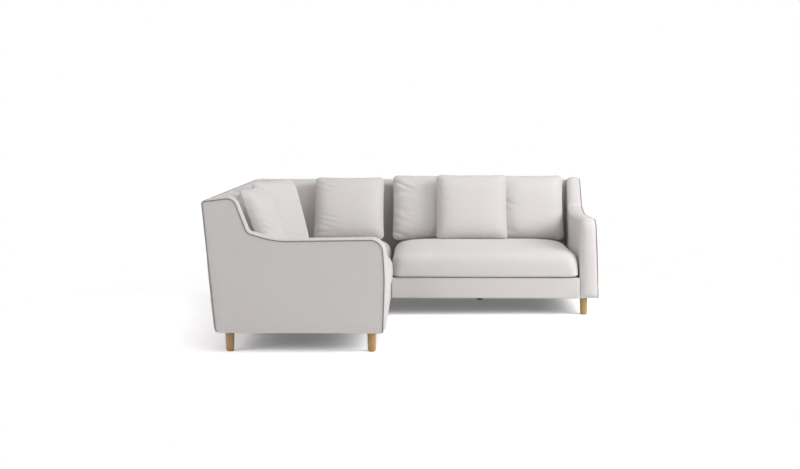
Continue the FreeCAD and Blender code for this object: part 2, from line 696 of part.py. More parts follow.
def legs():
    for side, places in (("right", long_unit_legs()), ("left", left_unit_legs())):
        for name, (s, t) in places.items():
            keep(f"leg_{name}", on_side(side, leg(s, t)))
            keep("leg_bolts", on_side(side, leg_bolt(s, t)))
            keep("leg_plates", on_side(side, leg_plate(s, t)))
            keep("floor_glides", on_side(side, glide(s, t)))


def bases():
    """Base frames, front rails, webbing, platforms and dust covers of both units."""
    start = DEPTH + UNIT_GAP + DOCK_RECESS
    t = (BACK_FOOT, RAIL_BACK)
    rail_t = (RAIL_BACK, RAIL_FRONT)

    s = (start, ARM_INNER)
    docks = [place for name, place in left_unit_legs().items() if "dock" in name]
    rail = front_rail(s, rail_t, FIT, BASE_BOTTOM)
    keep("left_base_frame", *[mirrored(x) for x in base_frame(s, t, [sum(s) / 2], docks) + [rail]])
    keep("left_rail_cover", mirrored(front_rail_cover(s, rail_t)))
    keep("left_webbing", *[mirrored(x) for x in webbing(s, t)])
    keep("left_platform", mirrored(block(s, t, (DECK_HEIGHT - PLATFORM, DECK_HEIGHT))))
    keep("left_dust_cover", mirrored(dust_cover(s, t, left_unit_legs())))

    s = (BACK_FOOT, ARM_INNER)
    rail_s = (RAIL_FRONT, ARM_INNER)
    inside = [place for name, place in long_unit_legs().items() if "arm" not in name]
    rail = front_rail(rail_s, rail_t, FIT, BASE_BOTTOM)
    dock_rail = block((BACK_FOOT, RAIL_FRONT), (RAIL_BACK, DEPTH - DOCK_RECESS), (BASE_BOTTOM, FRAME_TOP))
    cross = [DEPTH, (DEPTH + ARM_INNER) / 2 + LEG_BLOCK]
    keep("right_base_frame", *base_frame(s, t, cross, inside), rail, dock_rail)
    keep("right_rail_cover", front_rail_cover(rail_s, rail_t))
    keep("corner_webbing", *webbing((BACK_FOOT, DEPTH + BASE_RAIL / 2), t))
    keep("right_webbing", *webbing((DEPTH + BASE_RAIL / 2 + STRAP, ARM_INNER), t))
    keep("right_platform", block(s, t, (DECK_HEIGHT - PLATFORM, DECK_HEIGHT)))
    keep("right_dust_cover", dust_cover(s, t, long_unit_legs()))


def dust_cover(s, t, legs_there):
    """Thin cloth under the frame, cut round each leg's plate."""
    rim = DUST_COVER_RIM
    sheet = block((s[0] - rim, s[1] + rim), (t[0] - rim, t[1] + rim), (UNDERSIDE - DUST_COVER, UNDERSIDE))
    half = PLATE_WIDTH / 2 + SOFT_GAP
    for a, b in legs_there.values():
        sheet = sheet.cut(block((a - half, a + half), (b - half, b + half), (0, BACK_HEIGHT)))
    return sheet


def dock_fittings():
    """Hooks on the docking unit drop behind bridges on the long unit."""
    face = DEPTH - DOCK_RECESS
    gap = UNIT_GAP + 2 * DOCK_RECESS
    half = DOCK_WIDTH / 2
    top = FRAME_TOP - 2 * POST / 3
    slot = (face + DOCK_PLATE, face + DOCK_PLATE + DOCK_SLOT)
    for share in (0.22, 0.78):
        at = BACK_FOOT + (RAIL_BACK - BACK_FOOT) * share
        bridge_top = top - DOCK_HEIGHT / 2
        hook_low, hook_top = bridge_top + DOCK_PLAY, bridge_top + DOCK_PLAY + DOCK_PLATE
        plate = block((at - half, at + half), (face, slot[0]), (top - DOCK_HEIGHT, top))
        bridge_z = (bridge_top - DOCK_BRIDGE_HEIGHT, bridge_top)
        bridge = block((at - half, at + half), (slot[0], slot[1] + DOCK_BRIDGE), bridge_z)
        tongue_half = DOCK_TONGUE / 2
        way = block((at - tongue_half - DOCK_PLAY, at + tongue_half + DOCK_PLAY), slot, bridge_z)
        keep("dock_sockets", plate.fuse(bridge.cut(way)).removeSplitter())
        hook_t = (slot[0] + DOCK_PLAY, slot[0] + DOCK_PLAY + DOCK_PLATE)
        span = (at - tongue_half, at + tongue_half)
        tongue = block(span, hook_t, (bridge_z[0] - DOCK_BRIDGE_HEIGHT / 2, hook_top))
        step = block(span, (hook_t[0], face + gap), (hook_low, hook_top))
        back_t = (face + gap - DOCK_PLATE, face + gap)
        back = block((at - half, at + half), back_t, (hook_low, bridge_top + DOCK_HEIGHT / 2))
        keep("dock_hooks", tongue.fuse([step, back]).removeSplitter())


def seat_cushions():
    for node, ranges in SEATS.items():
        seat_cushion(node, "left" if node == "left_seat" else "right", *ranges)


def scatter_cushions():
    """Three loose cushions along the right-hand seat, one in the corner and two on the left-hand seat."""
    outer = ARM_INNER - PILLOW_FROM_ARM - PILLOW / 2
    inner = SEATS["right_seat"][0][0] + PILLOW_FROM_SEAT_END + PILLOW / 2
    foot = leaning_foot("right_seat", outer, PILLOW_LEAN)
    in_front = foot + nesting(min(PILLOW_STEP, outer - inner - PILLOW_STEP)) / cos(radians(PILLOW_LEAN))
    pillow("right_outer_pillow", "right_seat", outer, foot, PILLOW_LEAN)
    pillow("right_front_pillow", "right_seat", inner + PILLOW_STEP, in_front, PILLOW_LEAN)
    pillow("right_inner_pillow", "right_seat", inner, foot, PILLOW_LEAN)

    corner = SEATS["corner_seat"][0][1] - CORNER_PILLOW_FROM_END - PILLOW / 2
    foot = leaning_foot("corner_seat", corner, CORNER_PILLOW_LEAN)
    pillow("corner_pillow", "corner_seat", corner, foot, CORNER_PILLOW_LEAN)

    by_arm = ARM_INNER - ARM_PILLOW_FROM_ARM - PILLOW / 2
    pillow("left_outer_pillow", "left_seat", by_arm, ARM_PILLOW_FOOT, ARM_PILLOW_LEAN, ARM_PILLOW_TURN)
    pillow("left_inner_pillow", "left_seat", by_arm - TURNED_PILLOW_STEP, TURNED_PILLOW_FOOT,
           TURNED_PILLOW_LEAN, TURNED_PILLOW_TURN)


def build():
    arms()
    backs()
    bases()
    legs()
    dock_fittings()
    seat_cushions()
    scatter_cushions()


def export():
    os.makedirs("parts", exist_ok=True)
    for node, solids in parts.items():
        found = [solid for shape in solids for solid in shape.Solids]
        if not found or not all(solid.isValid() and solid.Volume > 0 for solid in found):
            raise ValueError(f"{node} isn't made of valid solids")
        shape = found[0] if len(found) == 1 else Part.makeCompound(found)
        shape.exportStep(f"parts/{node}.step")
        print(node, len(found), round(shape.Volume / 1e6, 3), "litres")


build()
export()
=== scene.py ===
# %% [markdown]
# # A fabric corner sofa
# The timber frames, legs, webbing and fittings come from CAD and stay exactly where they are. Blender
# adds what CAD is poor at: crowned upholstery, piping, stuffed cushions, cloth and wood. All lengths
# are in metres, with the origin on the floor at the middle of the square footprint.

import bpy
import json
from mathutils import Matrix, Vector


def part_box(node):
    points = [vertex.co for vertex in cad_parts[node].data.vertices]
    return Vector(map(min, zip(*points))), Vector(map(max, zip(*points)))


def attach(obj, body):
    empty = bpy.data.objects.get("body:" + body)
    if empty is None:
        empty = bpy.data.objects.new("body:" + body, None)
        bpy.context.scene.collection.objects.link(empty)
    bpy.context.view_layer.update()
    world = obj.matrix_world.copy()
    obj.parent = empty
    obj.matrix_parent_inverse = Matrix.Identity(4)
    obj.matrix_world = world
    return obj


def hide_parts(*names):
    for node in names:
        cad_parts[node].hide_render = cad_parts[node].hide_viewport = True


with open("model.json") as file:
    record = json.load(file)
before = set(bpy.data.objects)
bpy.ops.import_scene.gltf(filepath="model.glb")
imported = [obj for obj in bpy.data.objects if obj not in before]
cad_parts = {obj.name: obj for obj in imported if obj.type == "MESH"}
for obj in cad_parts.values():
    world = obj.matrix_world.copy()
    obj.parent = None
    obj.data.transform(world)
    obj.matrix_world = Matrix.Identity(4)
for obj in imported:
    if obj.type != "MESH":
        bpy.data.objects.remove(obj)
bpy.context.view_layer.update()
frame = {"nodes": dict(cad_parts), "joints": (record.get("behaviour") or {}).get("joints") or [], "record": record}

# %% Other modules
import json
from math import cos, exp, pi, radians, tan

import bpy
from mathutils import Matrix, Vector, noise
from mathutils.bvhtree import BVHTree

scene = bpy.context.scene
record = frame["record"]

# %% [markdown]
# ## The camera
# The photograph was taken from far away with a long lens, a little above the seat and almost square to
# the right-hand wing. The lens and place were worked out from edges of known length, so the camera
# comes first, and every later shape can be checked against the photograph.

# %% Camera
CAMERA_PLACE = (0.022, -8.396, 1.356)
CAMERA_TURN = (radians(84.63), 0, radians(0.94))
bpy.ops.object.camera_add(location=CAMERA_PLACE, rotation=CAMERA_TURN)
camera = bpy.context.object
camera.data.lens = 57.8
camera.data.sensor_width = 36.0
scene.camera = camera
print("camera at", tuple(camera.location))

# %% [markdown]
# ## Node trees in a few words
# Materials are built from nodes. Two small helpers keep the later cells short: one adds a node with its
# settings and links its inputs, and one starts a node group with named sockets.

# %% Helpers for node trees
def add_node(tree, kind, inputs=None, **settings):
    """A node with its settings. An input is a number, a colour or another node's output."""
    node = tree.nodes.new(kind)
    for name, value in settings.items():
        setattr(node, name, value)
    for key, value in (inputs or {}).items():
        if isinstance(value, bpy.types.NodeSocket):
            tree.links.new(value, node.inputs[key])
        else:
            node.inputs[key].default_value = value
    return node


def math_node(tree, operation, *values):
    return add_node(tree, "ShaderNodeMath", dict(enumerate(values)), operation=operation).outputs[0]


def mix_colour(tree, share, first, second):
    node = add_node(tree, "ShaderNodeMix", {0: share, 6: first, 7: second}, data_type="RGBA")
    return node.outputs[2]


def new_group(name, inputs, outputs):
    """A node group with named sockets, and its input and output nodes."""
    tree = bpy.data.node_groups.new(name, "ShaderNodeTree")
    for direction, sockets in (("INPUT", inputs), ("OUTPUT", outputs)):
        for socket, kind in sockets.items():
            tree.interface.new_socket(socket, in_out=direction, socket_type=f"NodeSocket{kind}")
    return tree, tree.nodes.new("NodeGroupInput").outputs, tree.nodes.new("NodeGroupOutput")


# %% [markdown]
# ## Plain weave in one plane
# Upholstery cloth is a plain weave: warp and weft pass over and under each other by turns. Across one
# thread the height rises and falls, and along it the thread dips where it goes under the next one. A
# checkerboard decides which of the two threads lies on top.

# %% Node group: plain weave
def make_plain_weave():
    tree, given, result = new_group("plain weave", {"A": "Float", "B": "Float"}, {"Height": "Float"})
    a, b = given["A"], given["B"]
    across, along = math_node(tree, "PINGPONG", a, 0.5), math_node(tree, "PINGPONG", b, 0.5)
    cell = math_node(tree, "ADD", math_node(tree, "FLOOR", a), math_node(tree, "FLOOR", b))
    warp_on_top = math_node(tree, "PINGPONG", cell, 1.0)
    warp = math_node(tree, "MULTIPLY", across, math_node(tree, "MULTIPLY_ADD", along, 1.6, 1.2))
    weft = math_node(tree, "MULTIPLY", along, math_node(tree, "MULTIPLY_ADD", across, 1.6, 1.2))
    height = add_node(tree, "ShaderNodeMix", {0: warp_on_top, 2: warp, 3: weft})
    tree.links.new(height.outputs[0], result.inputs["Height"])
    return tree


plain_weave = make_plain_weave()
print("group:", plain_weave.name, len(plain_weave.nodes), "nodes")

# %% [markdown]
# ## Woven cloth on any surface
# Simulated cushions have no UV map, so the weave is laid on from the three axes: a face takes the plane
# that it looks along most. The group also gives the melange of a spun yarn, in which single threads are
# a little lighter or darker, a broad unevenness that no real cloth is without, and painted shade in the
# hollows between the threads.

# %% Node group: woven cloth
# How far a thread wanders, in metres, and how much darker the painted shade in the hollows between the
# threads, the broad unevenness and the whole cloth are made, from 0, the cloth's colour, to 1, the dark yarn's.
THREAD_WAVER = 0.0012
HOLLOW_PAINTED_SHADE = 0.22
BROAD_SHADE = 0.12
EVEN_SHADE = 0.22


def weave_height(tree, threads, facing):
    """The weave's height from the plane that a face looks along most."""
    x, y, z = (add_node(tree, "ShaderNodeSeparateXYZ", {0: threads}).outputs[i] for i in range(3))
    way = add_node(tree, "ShaderNodeSeparateXYZ", {0: facing}).outputs
    size = [math_node(tree, "ABSOLUTE", way[i]) for i in range(3)]
    planes = []
    for a, b in ((y, z), (x, z), (x, y)):
        weave = add_node(tree, "ShaderNodeGroup", node_tree=plain_weave)
        tree.links.new(a, weave.inputs["A"])
        tree.links.new(b, weave.inputs["B"])
        planes.append(weave.outputs["Height"])
    along_y = math_node(tree, "GREATER_THAN", size[1], size[0])
    upright = add_node(tree, "ShaderNodeMix", {0: along_y, 2: planes[0], 3: planes[1]}).outputs[0]
    largest = math_node(tree, "MAXIMUM", size[0], size[1])
    level = math_node(tree, "GREATER_THAN", size[2], largest)
    return add_node(tree, "ShaderNodeMix", {0: level, 2: upright, 3: planes[2]}).outputs[0]


def make_woven_cloth():
    sockets = {"Position": "Vector", "Facing": "Vector", "Threads per metre": "Float", "Cloth": "Color",
               "Dark yarn": "Color", "Melange": "Float"}
    tree, given, result = new_group(
        "woven cloth", sockets, {"Color": "Color", "Roughness": "Float", "Height": "Float"})
    place = given["Position"]
    waver = add_node(tree, "ShaderNodeTexNoise", {"Vector": place, "Scale": 60.0, "Detail": 1.0})
    bent = add_node(tree, "ShaderNodeVectorMath", {0: waver.outputs["Color"], 1: (THREAD_WAVER,) * 3,
                                                   2: place}, operation="MULTIPLY_ADD").outputs[0]
    threads = add_node(tree, "ShaderNodeVectorMath", {0: bent, "Scale": given["Threads per metre"]},
                       operation="SCALE").outputs[0]
    height = weave_height(tree, threads, given["Facing"])
    yarn = add_node(tree, "ShaderNodeTexNoise", {"Vector": threads, "Scale": 0.33, "Detail": 3.0}).outputs[0]
    yarn = math_node(tree, "MULTIPLY", math_node(tree, "SUBTRACT", yarn, 0.5), given["Melange"])
    broad = add_node(tree, "ShaderNodeTexNoise", {"Vector": place, "Scale": 4.0, "Detail": 4.0}).outputs[0]
    broad = math_node(tree, "MULTIPLY", math_node(tree, "SUBTRACT", broad, 0.5), BROAD_SHADE)
    # painted shade: the hollows between the threads are coloured darker, as if shade fell into them
    hollow_painted_shade = math_node(tree, "MULTIPLY", math_node(tree, "SUBTRACT", 0.75, height), HOLLOW_PAINTED_SHADE)
    dark = math_node(tree, "ADD", math_node(tree, "ADD", yarn, broad), hollow_painted_shade)
    dark = add_node(tree, "ShaderNodeClamp", {0: math_node(tree, "ADD", dark, EVEN_SHADE)}).outputs[0]
    colour = mix_colour(tree, dark, given["Cloth"], given["Dark yarn"])
    rough = math_node(tree, "MULTIPLY_ADD", dark, 0.12, 0.84)
    for name, value in (("Color", colour), ("Roughness", rough), ("Height", height)):
        tree.links.new(value, result.inputs[name])
    return tree


woven_cloth = make_woven_cloth()
print("group:", woven_cloth.name, len(woven_cloth.nodes), "nodes")

# %% [markdown]
# ## Cloth materials
# The sofa is covered in one pale warm grey cloth. The arms and backs are pulled tight over board and
# foam; the loose cushions use the same cloth with more slack, so their bump has a second, broader part.
# The piping's colour is painted darker, as painted shade of the creases along its seam,
# and its threads are finer. Sheen is the soft edge light of short fibres.

# %% Materials: upholstery, cushions and piping
def cloth_material(name, cloth, dark_yarn, threads=520.0, melange=0.35, rumple=0.0012, sheen=0.25):
    """Woven cloth with so many threads to the metre; rumple is the depth of its broad waves."""
    material = bpy.data.materials.new(name)
    material.use_nodes = True
    tree = material.node_tree
    shader = tree.nodes["Principled BSDF"]
    place = add_node(tree, "ShaderNodeTexCoord").outputs["Object"]
    facing = add_node(tree, "ShaderNodeNewGeometry").outputs["Normal"]
    weave = add_node(tree, "ShaderNodeGroup", node_tree=woven_cloth)
    for key, value in (("Position", place), ("Facing", facing)):
        tree.links.new(value, weave.inputs[key])
    weave.inputs["Threads per metre"].default_value = threads
    weave.inputs["Cloth"].default_value = cloth
    weave.inputs["Dark yarn"].default_value = dark_yarn
    weave.inputs["Melange"].default_value = melange
    folds = add_node(tree, "ShaderNodeTexNoise", {"Vector": place, "Scale": 14.0, "Detail": 3.0}).outputs[0]
    soft = add_node(tree, "ShaderNodeBump", {"Strength": 0.35, "Distance": rumple, "Height": folds})
    fine = add_node(tree, "ShaderNodeBump", {"Strength": 0.3, "Distance": 0.35 / threads,
                                             "Height": weave.outputs["Height"],
                                             "Normal": soft.outputs[0]})
    tree.links.new(weave.outputs["Color"], shader.inputs["Base Color"])
    tree.links.new(weave.outputs["Roughness"], shader.inputs["Roughness"])
    tree.links.new(fine.outputs[0], shader.inputs["Normal"])
    shader.inputs["Sheen Weight"].default_value = sheen
    shader.inputs["Sheen Roughness"].default_value = 0.45
    shader.inputs["Specular IOR Level"].default_value = 0.25
    return material


PALE_CLOTH = (0.622, 0.601, 0.590, 1)
DARK_YARN = (0.40, 0.375, 0.365, 1)
finishes = {
    "upholstery_cloth": cloth_material("upholstery_cloth", PALE_CLOTH, DARK_YARN),
    "cushion_cloth": cloth_material("cushion_cloth", PALE_CLOTH, DARK_YARN, rumple=0.003),
}
# painted shade: the piping's colours are darker than the upholstery's to stand for the shade in the creases at its
# seam
piping_painted_shade = cloth_material(
    "piping_painted_shade", (0.25, 0.232, 0.228, 1), (0.17, 0.157, 0.153, 1), threads=780.0)
print("cloth materials:", sorted(finishes) + [piping_painted_shade.name])

# %% [markdown]
# ## Wood
# The legs are turned from oak, so the grain runs up the leg in long narrow streaks, and short dark pores
# follow it. The frames inside are plain softwood and ply. Both come from one group that stretches its
# noise along the grain.

# %% Node group: wood grain
def make_wood_grain():
    sockets = {"Along grain": "Vector", "Light": "Color", "Dark": "Color"}
    tree, given, result = new_group(
        "wood grain", sockets, {"Color": "Color", "Roughness": "Float", "Height": "Float"})
    place = given["Along grain"]
    rings = add_node(tree, "ShaderNodeTexWave", {"Vector": place, "Scale": 0.9, "Distortion": 3.5,
                                                 "Detail": 3.0, "Detail Scale": 1.4})
    streaks = add_node(tree, "ShaderNodeTexNoise", {"Vector": place, "Scale": 5.0, "Detail": 6.0}).outputs[0]
    pores = add_node(tree, "ShaderNodeTexNoise", {"Vector": place, "Scale": 22.0, "Detail": 2.0}).outputs[0]
    pores = add_node(tree, "ShaderNodeMapRange", {0: pores, 1: 0.56, 2: 0.68}).outputs[0]
    share = math_node(tree, "MULTIPLY", rings.outputs["Fac"], 0.38)
    share = math_node(tree, "ADD", share, math_node(tree, "MULTIPLY", streaks, 0.4))
    share = math_node(tree, "ADD", share, math_node(tree, "MULTIPLY", pores, 0.28))
    share = add_node(tree, "ShaderNodeClamp", {0: share}).outputs[0]
    colour = mix_colour(tree, share, given["Light"], given["Dark"])
    rough = math_node(tree, "MULTIPLY_ADD", pores, 0.25, 0.42)
    height = math_node(tree, "SUBTRACT", 1.0, pores)
    for name, value in (("Color", colour), ("Roughness", rough), ("Height", height)):
        tree.links.new(value, result.inputs[name])
    return tree


wood_grain = make_wood_grain()
print("group:", wood_grain.name, len(wood_grain.nodes), "nodes")


# %% Materials: oak and frame timber
def wood_material(name, stretch, light, dark, coat):
    """Wood whose noise is stretched along the axis with the smallest number."""
    material = bpy.data.materials.new(name)
    material.use_nodes = True
    tree = material.node_tree
    shader = tree.nodes["Principled BSDF"]
    place = add_node(tree, "ShaderNodeTexCoord").outputs["Object"]
    along = add_node(tree, "ShaderNodeMapping", {"Vector": place, "Scale": stretch}).outputs[0]
    grain = add_node(tree, "ShaderNodeGroup", node_tree=wood_grain)
    tree.links.new(along, grain.inputs["Along grain"])
    grain.inputs["Light"].default_value = light
    grain.inputs["Dark"].default_value = dark
    bump = add_node(tree, "ShaderNodeBump", {"Strength": 0.3, "Distance": 0.0003,
                                             "Height": grain.outputs["Height"]})
    tree.links.new(grain.outputs["Color"], shader.inputs["Base Color"])
    tree.links.new(grain.outputs["Roughness"], shader.inputs["Roughness"])
    tree.links.new(bump.outputs[0], shader.inputs["Normal"])
    shader.inputs["Coat Weight"].default_value = coat
    shader.inputs["Coat Roughness"].default_value = 0.35
    return material


for name, values in {
    "oak_legs": ((70, 70, 6), (0.44, 0.272, 0.098, 1), (0.27, 0.148, 0.044, 1), 0.25),
    "frame_timber": ((9, 60, 60), (0.70, 0.55, 0.36, 1), (0.50, 0.35, 0.20, 1), 0.0),
}.items():
    finishes[name] = wood_material(name, *values)
print("wood materials:", finishes["oak_legs"].name, finishes["frame_timber"].name)

# %% [markdown]
# ## Everything under the cloth
# Foam, fibre, felt, webbing, dust cover, steel, plastic and zip are seen only when a cushion is lifted
# off or the sofa is turned over, but each is finished: a noise or a cell pattern at its own scale moves
# its colour, its roughness and its surface.

# %% Node group: fine surface
def make_fine_surface():
    sockets = {"Position": "Vector", "Scale": "Float", "Light": "Color", "Dark": "Color", "Rough": "Float"}
    tree, given, result = new_group(
        "fine surface", sockets, {"Color": "Color", "Roughness": "Float", "Height": "Float"})
    grains = add_node(tree, "ShaderNodeTexNoise", {"Vector": given["Position"], "Scale": given["Scale"],
                                                   "Detail": 4.0}).outputs[0]
    cells = add_node(tree, "ShaderNodeTexVoronoi", {"Vector": given["Position"],
                                                    "Scale": given["Scale"]}).outputs["Distance"]
    worn = add_node(tree, "ShaderNodeTexNoise", {"Vector": given["Position"], "Scale": 9.0}).outputs[0]
    height = math_node(tree, "MULTIPLY", grains, math_node(tree, "ADD", cells, 0.5))
    share = add_node(tree, "ShaderNodeClamp", {0: math_node(tree, "MULTIPLY_ADD", worn, 0.6, height)})
    colour = mix_colour(tree, share.outputs[0], given["Light"], given["Dark"])
    rough = math_node(tree, "MULTIPLY_ADD", worn, 0.2, given["Rough"])
    for name, value in (("Color", colour), ("Roughness", rough), ("Height", height)):
        tree.links.new(value, result.inputs[name])
    return tree


fine_surface = make_fine_surface()
print("group:", fine_surface.name, len(fine_surface.nodes), "nodes")


# %% Materials: foam, felt, cloths, metal and plastic
def plain_material(name, scale, light, dark, rough, depth=0.0004, metal=0.0):
    material = bpy.data.materials.new(name)
    material.use_nodes = True
    tree = material.node_tree
    shader = tree.nodes["Principled BSDF"]
    surface = add_node(tree, "ShaderNodeGroup", node_tree=fine_surface)
    place = add_node(tree, "ShaderNodeTexCoord").outputs["Object"]
    tree.links.new(place, surface.inputs["Position"])
    for key, value in (("Scale", scale), ("Light", light), ("Dark", dark), ("Rough", rough)):
        surface.inputs[key].default_value = value
    bump = add_node(tree, "ShaderNodeBump", {"Strength": 0.4, "Distance": depth,
                                             "Height": surface.outputs["Height"]})
    tree.links.new(surface.outputs["Color"], shader.inputs["Base Color"])
    tree.links.new(surface.outputs["Roughness"], shader.inputs["Roughness"])
    tree.links.new(bump.outputs[0], shader.inputs["Normal"])
    shader.inputs["Metallic"].default_value = metal
    return material


for name, values in {
    "seat_foam": (420.0, (0.86, 0.80, 0.58, 1), (0.66, 0.58, 0.36, 1), 0.8, 0.0012),
    "pillow_filling": (160.0, (0.90, 0.90, 0.88, 1), (0.74, 0.73, 0.70, 1), 0.8, 0.002),
    "felt_platform": (900.0, (0.26, 0.25, 0.245, 1), (0.13, 0.125, 0.12, 1), 0.85, 0.0008),
    "dust_cover_cloth": (1200.0, (0.035, 0.035, 0.036, 1), (0.012, 0.012, 0.013, 1), 0.75, 0.0003),
    "black_steel": (500.0, (0.03, 0.03, 0.03, 1), (0.012, 0.012, 0.012, 1), 0.35, 0.0001, 0.2),
    "plated_steel": (260.0, (0.62, 0.61, 0.58, 1), (0.42, 0.42, 0.40, 1), 0.22, 0.0001, 1.0),
    "glide_plastic": (700.0, (0.05, 0.045, 0.04, 1), (0.025, 0.022, 0.02, 1), 0.4, 0.0001),
    "zip_nylon": (800.0, (0.55, 0.53, 0.52, 1), (0.36, 0.34, 0.335, 1), 0.4, 0.0002),
}.items():
    finishes[name] = plain_material(name, *values)
finishes["webbing"] = cloth_material(
    "webbing", (0.035, 0.032, 0.03, 1), (0.012, 0.011, 0.010, 1), 300.0, 0.8, 0.0002, 0.1)
print("finishes:", sorted(finishes))

# %% Give every CAD node its finish
for part in record["subparts"]:
    node = frame["nodes"][part["node"]]
    node.data.materials.clear()
    node.data.materials.append(finishes[part["material_slot"]])
print("finished CAD nodes:", len(record["subparts"]))

# %% [markdown]
# ## Working on the two wings
# The sofa is an L of two equal wings, so a piece is described once on the right-hand wing: s runs from
# the outer corner along the wing, t from the back plane towards the seat, and z up. The left-hand wing
# is the same in the mirror that halves the corner. A mirrored mesh is inside out, so its faces are
# turned again when it is made. The cloth ends at the underside, and the cushions lie on the deck. The
# foot of the back is set in, because the back is raked, and a seam parts the two units.

# %% Places on a wing
WING = 2.430
DEPTH = 1.030
UNDERSIDE = 0.118
DECK = 0.258
BACK_HEIGHT = 0.860
BACK_FOOT = 0.075
UNIT_SEAM = 0.003


def place(side, s, t, z):
    """The point in the room for a place on one of the wings."""
    x, y = s - WING / 2, WING / 2 - t
    return Vector((x, y, z)) if side == "right" else Vector((-y, -x, z))


def deselect():
    if bpy.context.object and bpy.context.object.mode != "OBJECT":
        bpy.ops.object.mode_set(mode="OBJECT")
    bpy.ops.object.select_all(action="DESELECT")


def pick(piece):
    """Make one object the only one selected, and the active one."""
    deselect()
    piece.select_set(True)
    bpy.context.view_layer.objects.active = piece


def turn_faces_outwards(piece):
    pick(piece)
    bpy.ops.object.mode_set(mode="EDIT")
    bpy.ops.mesh.select_all(action="SELECT")
    bpy.ops.mesh.normals_make_consistent(inside=False)
    bpy.ops.object.mode_set(mode="OBJECT")


def finish_piece(piece, body, slot, *nodes, material=None):
    """Name the piece's finish, the body it rides on and the CAD nodes that it stands for."""
    piece.data.materials.clear()
    piece.data.materials.append(material or finishes[slot])
    if nodes:
        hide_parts(*nodes)
    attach(piece, body)
    print(f"{piece.name}: {len(piece.data.polygons)} faces on {body}")


# %% [markdown]
# ## Outlines with rounded corners
# An upholsterer cuts a side panel from a pattern with rounded corners. The pattern here is a list of
# corners with a radius each. The helper walks round it in even steps, along the straight runs and
# round each arc, because even steps give even faces.

# %% Walk round an outline
def rounded_path(corners, step):
    """Points a step apart on a closed outline, whose corners are (a, b, radius)."""
    runs = []
    for i, (a, b, radius) in enumerate(corners):
        corner = Vector((a, b))
        way_in = corner - Vector(corners[i - 1][:2])
        way_out = Vector(corners[(i + 1) % len(corners)][:2]) - corner
        turn = way_in.angle_signed(way_out)
        reach = min(radius * tan(abs(turn) / 2), 0.48 * way_in.length, 0.48 * way_out.length)
        start = corner - way_in.normalized() * reach
        side = way_in.normalized().orthogonal() * (reach / tan(turn / 2))
        runs.append((start, start - side, turn, abs(reach * turn / tan(turn / 2)),
                     corner + way_out.normalized() * reach))
    points = []
    for i, (start, middle, turn, length, end) in enumerate(runs):
        count = max(1, round(length / step))
        for k in range(count):
            points.append(middle + Matrix.Rotation(-turn * k / count, 2) @ (start - middle))
        straight = runs[(i + 1) % len(runs)][0] - end
        count = max(1, round(straight.length / step))
        points += [end + straight * (k / count) for k in range(count)]
    return points


ARM_OUTLINE = [
    (BACK_FOOT, UNDERSIDE, 0.028), (0.0, BACK_HEIGHT, 0.008), (0.175, 0.882, 0.050),
    (0.253, 0.683, 0.046), (0.410, 0.636, 0.780), (1.015, 0.645, 0.068), (DEPTH, 0.440, 1.500),
    (1.020, UNDERSIDE, 0.005),
]
arm_path = rounded_path(ARM_OUTLINE, 0.010)
print("arm outline:", len(arm_path), "points")

# %% [markdown]
# ## The arms
# A sofa arm is a board shape under foam: two flat side panels joined by a band that swells over the
# top and down the front. One closed skin does it. Rings are drawn from the middle of the inner panel out
# to its edge, across the band in small steps, and in again over the outer panel. Each ring is the
# outline, moved outwards where the band is crowned, and moved in towards a line along the middle of
# the panel on the two sides. A shallow valley runs along the seam that holds the piping.

# %% How far the padding stands out
ARM_WIDTH = 0.124
ARM_LEAN = 0.032
ARM_INNER = WING - ARM_WIDTH
TOP_CROWN = 0.016
FRONT_CROWN = 0.020
INNER_DROP = 0.006
SPINE = (Vector((0.20, 0.40)), Vector((0.86, 0.38)))


def smooth_step(value, low, high):
    share = min(max((value - low) / (high - low), 0.0), 1.0)
    return share * share * (3 - 2 * share)


def outward_ways(path):
    """The outward direction at each point of a path that runs clockwise."""
    count = len(path)
    ways = []
    for i in range(count):
        along = path[(i + 1) % count] - path[i - 1]
        ways.append(Vector((-along.y, along.x)).normalized())
    return ways


def arm_swell(point):
    """Crown of the band at a point of the outline: none on the back and the bottom."""
    t, z = point
    on_top = smooth_step(t, 0.0, 0.05) * TOP_CROWN
    on_front = smooth_step(t, 0.93, 1.0) * (FRONT_CROWN - TOP_CROWN)
    return (on_top + on_front) * smooth_step(z, UNDERSIDE + 0.002, UNDERSIDE + 0.03)


def lean(z):
    """How far the arm's outer side has come in at a height."""
    return ARM_LEAN * (z - UNDERSIDE) / (BACK_HEIGHT - UNDERSIDE)


# %% Rings of an arm
def band_ring(side, share):
    """The outline at a share of the way across the band, swollen by the padding."""
    crown = 1 - abs(2 * share - 1) ** 3.2
    ring = []
    for point, way in zip(arm_path, outward_ways(arm_path)):
        edge = -INNER_DROP * (1 - smooth_step(share, 0.0, 0.5))
        edge *= smooth_step(point.y, UNDERSIDE + 0.001, UNDERSIDE + 0.02)
        moved = point + way * (arm_swell(point) * crown + edge)
        outer = WING - lean(moved.y)
        ring.append(place(side, ARM_INNER + (outer - ARM_INNER) * share, moved.x, moved.y))
    return ring


def panel_ring(side, share, outer, puff):
    """The outline moved a share of the way in to the panel's spine, and puffed out a little."""
    ring = []
    low, high = SPINE
    for point, way in zip(arm_path, outward_ways(arm_path)):
        edge = 0.0 if outer else -INNER_DROP * smooth_step(point.y, UNDERSIDE + 0.001, UNDERSIDE + 0.02)
        start = point + way * edge
        along = min(max((start - low).dot(high - low) / (high - low).length_squared, 0.0), 1.0)
        goal = low + (high - low) * along
        here = start + (goal - start) * share
        depth = (here - start).length
        swell = puff * smooth_step(depth, 0.0, 0.05)
        s = WING - lean(here.y) + swell if outer else ARM_INNER - swell
        ring.append(place(side, s, here.x, here.y))
    return ring


